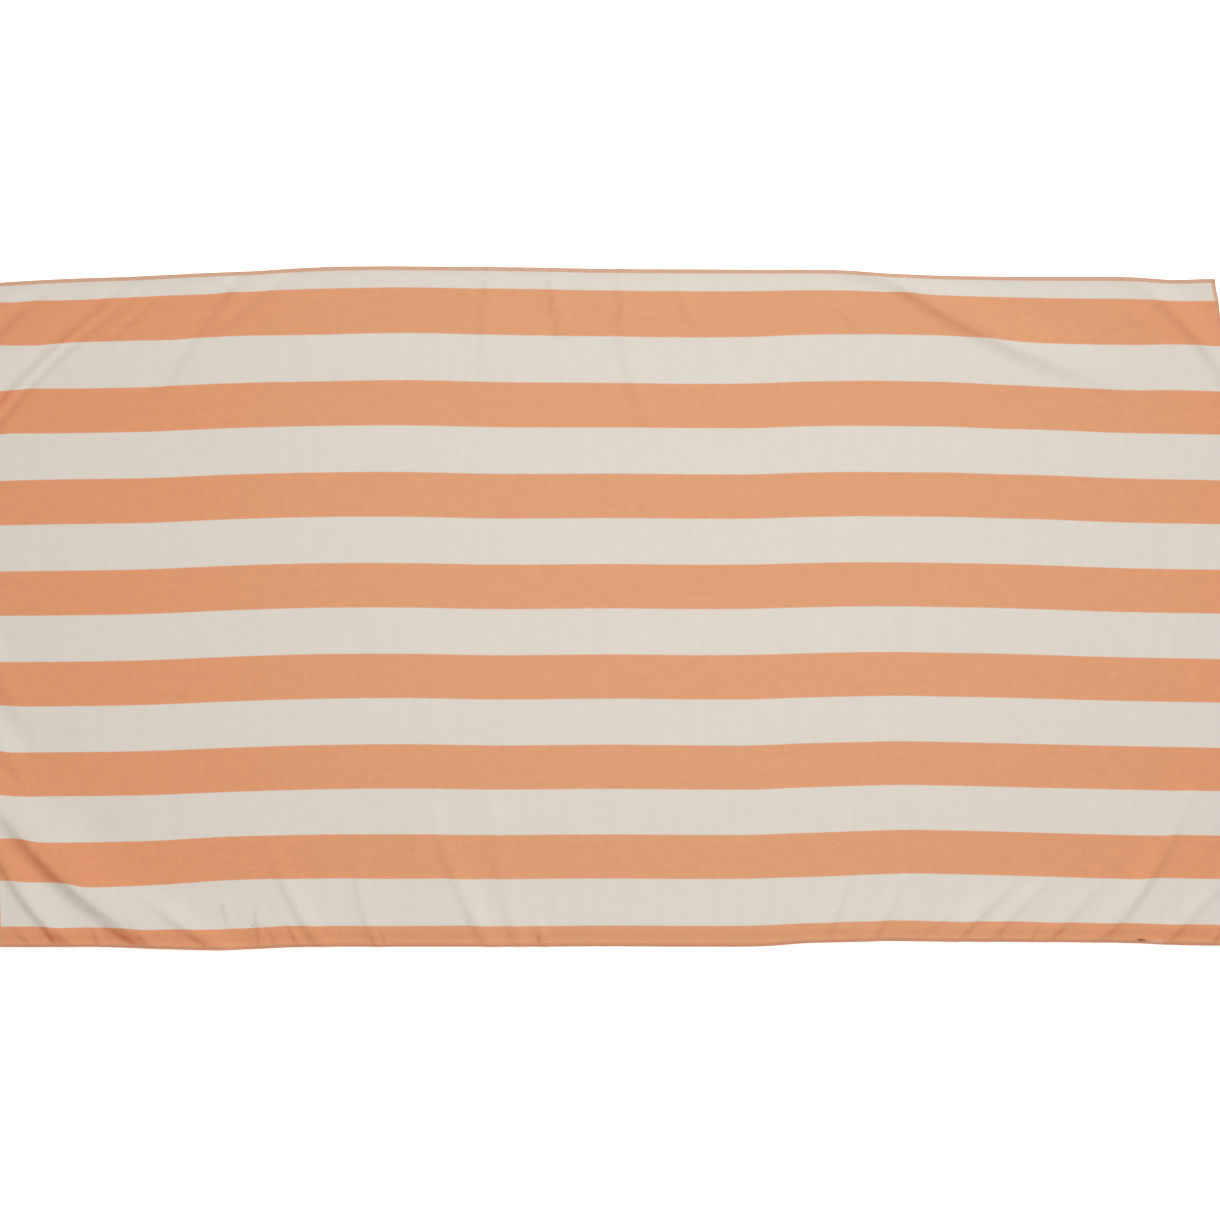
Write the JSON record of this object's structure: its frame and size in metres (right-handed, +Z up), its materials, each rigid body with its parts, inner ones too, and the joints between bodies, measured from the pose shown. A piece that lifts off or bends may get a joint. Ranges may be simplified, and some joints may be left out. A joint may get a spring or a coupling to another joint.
{
  "type": "beach towel",
  "caption": "Large thin beach towel with wide lengthwise stripes and an overlocked edge, spread flat on the ground with shallow folds at its corners and long edges.",
  "frame": {"origin": "on the ground, at the middle of the towel's outline", "axes": "X runs along the stripes and the long edges, Y across the stripes, Z up from the ground"},
  "size_m": [1.65, 0.9074, 0.0075],
  "materials": {
    "towel_cloth": "matt, fine dense pile"
  },
  "bodies": {
    "root": {"towel_cloth": "towel_cloth"}
  },
  "joints": []
}
